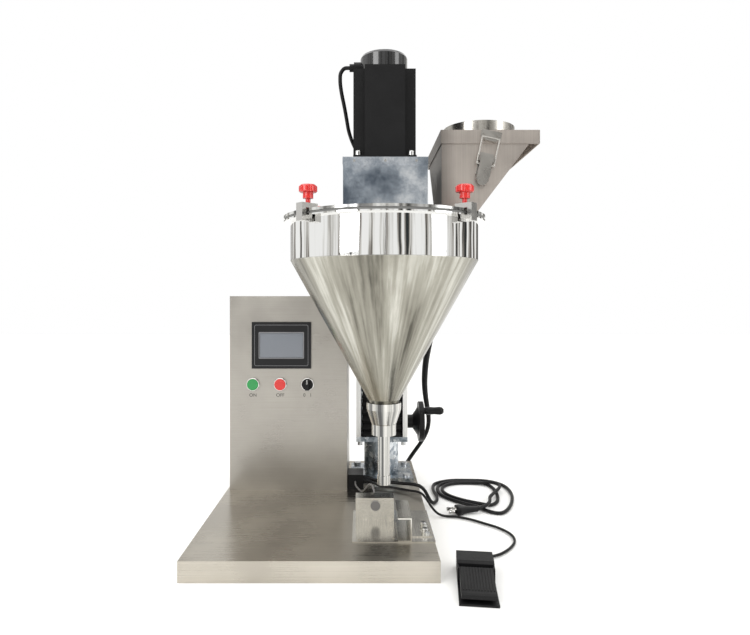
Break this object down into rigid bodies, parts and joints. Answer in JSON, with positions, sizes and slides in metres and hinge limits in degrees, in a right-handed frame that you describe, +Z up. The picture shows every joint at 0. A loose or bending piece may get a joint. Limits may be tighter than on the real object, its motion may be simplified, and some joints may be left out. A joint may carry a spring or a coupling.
{
  "type": "auger powder filler",
  "caption": "Bench-top auger powder filler: conical hopper with vertical screw and top motor, lift column with handwheel, control cabinet, foot pedal.",
  "frame": {"origin": "middle of the base's underside", "axes": "+Z up, -Y towards the operator, +X to the operator's right"},
  "size_m": [0.6547, 0.7126, 0.897],
  "materials": {
    "bellows_fabric": "coated bellows cloth",
    "black_motor_paint": "painted cast aluminium",
    "black_plastic": "black moulded plastic",
    "black_rubber": "black rubber or PVC",
    "brushed_stainless": "stainless steel, brushed",
    "drive_box_sheet": "stainless sheet, bright finish",
    "electrics": "electrical units",
    "green_plastic": "green moulded plastic",
    "light_aluminium": "aluminium, light grey",
    "polished_stainless": "stainless steel, polished",
    "red_plastic": "red moulded plastic",
    "screen_glass": "glass screen",
    "screen_housing_plastic": "dark moulded plastic",
    "silicone": "silicone gasket",
    "zinc_steel": "zinc plated steel"
  },
  "bodies": {
    "base": {"base_bottom_plate": "brushed_stainless", "base_fasteners": "zinc_steel", "base_tray": "brushed_stainless", "button_collars_and_contacts": "zinc_steel", "cabinet_inner_panel": "electrics", "cabinet_rear_cover": "brushed_stainless", "cabinet_shell": "brushed_stainless", "cable_entry_box": "black_plastic", "column_plates": "light_aluminium", "column_rails_and_rods": "light_aluminium", "container_rest": "polished_stainless", "foot_pedal_base": "black_plastic", "lift_harness": "black_rubber", "lower_bellows": "bellows_fabric", "pedal_cord": "black_rubber", "pedestal": "zinc_steel", "power_coil": "black_rubber", "power_cord": "black_rubber", "power_plug": "black_plastic", "product_sensor": "black_plastic", "right_angle_gearbox": "light_aluminium", "sensor_box": "brushed_stainless", "side_stop": "brushed_stainless", "touch_screen_glass": "screen_glass", "touch_screen_housing": "screen_housing_plastic", "upper_bellows": "bellows_fabric"},
    "head": {"carriage_and_nut": "light_aluminium", "support_arm": "light_aluminium", "drive_box": "drive_box_sheet", "drive_box_cover": "drive_box_sheet", "motor": "black_motor_paint", "motor_encoder_cap": "black_motor_paint", "motor_cable": "black_rubber", "hopper_band": "polished_stainless", "hopper_cone": "polished_stainless", "hopper_lid": "polished_stainless", "lid_gasket": "silicone", "neck_collar": "polished_stainless", "filling_tube": "polished_stainless", "inlet_chute": "brushed_stainless", "chute_cover": "brushed_stainless", "inlet_collar": "polished_stainless", "latch_keeper_and_base": "polished_stainless", "lid_clamps": "polished_stainless"},
    "auger": {"auger_screw": "polished_stainless", "stirrer": "polished_stainless", "motor_shaft_and_coupling": "zinc_steel"},
    "start_button": {"start_button": "green_plastic"},
    "stop_button": {"stop_button": "red_plastic"},
    "selector": {"selector_knob": "black_plastic"},
    "knob_1": {"clamp_knob_1": "red_plastic"},
    "knob_2": {"clamp_knob_2": "red_plastic"},
    "knob_3": {"clamp_knob_3": "red_plastic"},
    "knob_4": {"clamp_knob_4": "red_plastic"},
    "latch_lever": {"latch_lever": "polished_stainless"},
    "latch_bail": {"latch_bail": "polished_stainless"},
    "lead_screw": {"lead_screw": "zinc_steel"},
    "handwheel": {"handwheel": "black_plastic"},
    "grip": {"handwheel_grip": "black_plastic"},
    "pedal": {"foot_pedal_tread": "black_plastic"}
  },
  "joints": [
    {"name": "head_lift", "type": "slide", "parent": "base", "child": "head", "axis": [0, 0, 1], "range_m": [-0.04, 0.15], "deforming": ["lower_bellows", "upper_bellows", "lift_harness"]},
    {"name": "lead_screw_spin", "type": "hinge", "parent": "base", "child": "lead_screw", "pos_m": [0.131, 0.19, 0.4], "axis": [0, 0, 1], "range_deg": [-1450, 5410]},
    {"name": "handwheel_spin", "type": "hinge", "parent": "base", "child": "handwheel", "pos_m": [0.226, 0.19, 0.16], "axis": [1, 0, 0], "range_deg": [-1450, 5410]},
    {"name": "grip_spin", "type": "hinge", "parent": "handwheel", "child": "grip", "pos_m": [0.25, 0.16884, 0.18912], "axis": [1, 0, 0], "continuous": true},
    {"name": "auger_spin", "type": "hinge", "parent": "head", "child": "auger", "pos_m": [0.125, -0.167, 0.4], "axis": [0, 0, 1], "continuous": true},
    {"name": "start_press", "type": "slide", "parent": "base", "child": "start_button", "axis": [0, 1, 0], "range_m": [0, 0.003], "stiffness_N_per_m": 600},
    {"name": "stop_press", "type": "slide", "parent": "base", "child": "stop_button", "axis": [0, 1, 0], "range_m": [0, 0.003], "stiffness_N_per_m": 600},
    {"name": "selector_turn", "type": "hinge", "parent": "base", "child": "selector", "pos_m": [-0.035, 0.06, 0.268], "axis": [0, 1, 0], "range_deg": [0, 90]},
    {"name": "latch_lever_turn", "type": "hinge", "parent": "head", "child": "latch_lever", "pos_m": [0.30204, -0.2162, 0.7], "axis": [-0.9781, 0, 0.2079], "range_deg": [0, 120]},
    {"name": "latch_bail_turn", "type": "hinge", "parent": "latch_lever", "child": "latch_bail", "pos_m": [0.29996, -0.2162, 0.69022], "axis": [-0.9781, 0, 0.2079], "range_deg": [-120, 0]},
    {"name": "pedal_press", "type": "hinge", "parent": "base", "child": "pedal", "pos_m": [0.26912, -0.29354, 0.019], "axis": [0.993, -0.1184, 0], "range_deg": [0, 4.5], "stiffness_Nm_per_rad": 6},
    {"name": "knob_1_turn", "type": "hinge", "parent": "head", "child": "knob_1", "pos_m": [0.25226, -0.28567, 0.62], "axis": [0, 0, 1], "range_deg": [0, 360]},
    {"name": "knob_2_turn", "type": "hinge", "parent": "head", "child": "knob_2", "pos_m": [-0.00226, -0.28567, 0.62], "axis": [0, 0, 1], "range_deg": [0, 360]},
    {"name": "knob_3_turn", "type": "hinge", "parent": "head", "child": "knob_3", "pos_m": [0.25226, -0.04833, 0.62], "axis": [0, 0, 1], "range_deg": [0, 360]},
    {"name": "knob_4_turn", "type": "hinge", "parent": "head", "child": "knob_4", "pos_m": [-0.00226, -0.04833, 0.62], "axis": [0, 0, 1], "range_deg": [0, 360]}
  ],
  "couplings": [
    {"joint": "lead_screw_spin", "follows": "head_lift", "rad_per_m": 628.32},
    {"joint": "handwheel_spin", "follows": "head_lift", "rad_per_m": 628.32},
    {"joint": "latch_bail_turn", "follows": "latch_lever_turn", "ratio": -1}
  ]
}
